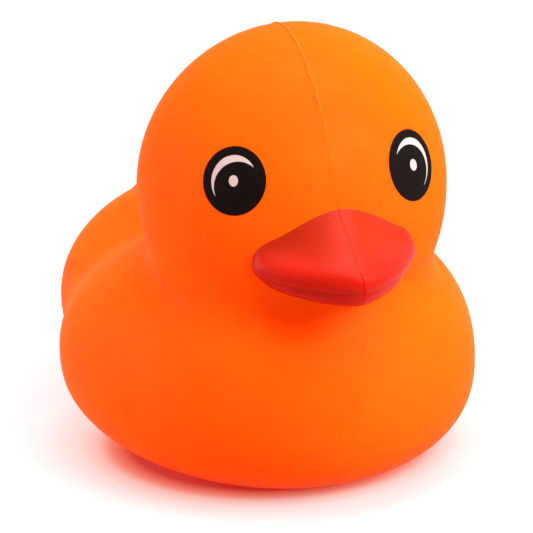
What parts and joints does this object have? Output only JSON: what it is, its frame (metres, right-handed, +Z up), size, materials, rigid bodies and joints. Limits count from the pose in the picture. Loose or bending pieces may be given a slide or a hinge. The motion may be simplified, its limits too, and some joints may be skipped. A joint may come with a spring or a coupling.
{
  "type": "toy duck",
  "caption": "Squishy one-piece toy duck with a round head, a broad bill, a cushion-shaped body and a raised rump, standing on a flat base.",
  "frame": {"origin": "middle of the flat base, under the widest section of the body", "axes": "+Z up, the bill points along -Y, +X to the side"},
  "size_m": [0.075, 0.1086, 0.0826],
  "materials": {
    "foam_skin": "matte"
  },
  "bodies": {
    "root": {"duck": "foam_skin"}
  },
  "joints": []
}
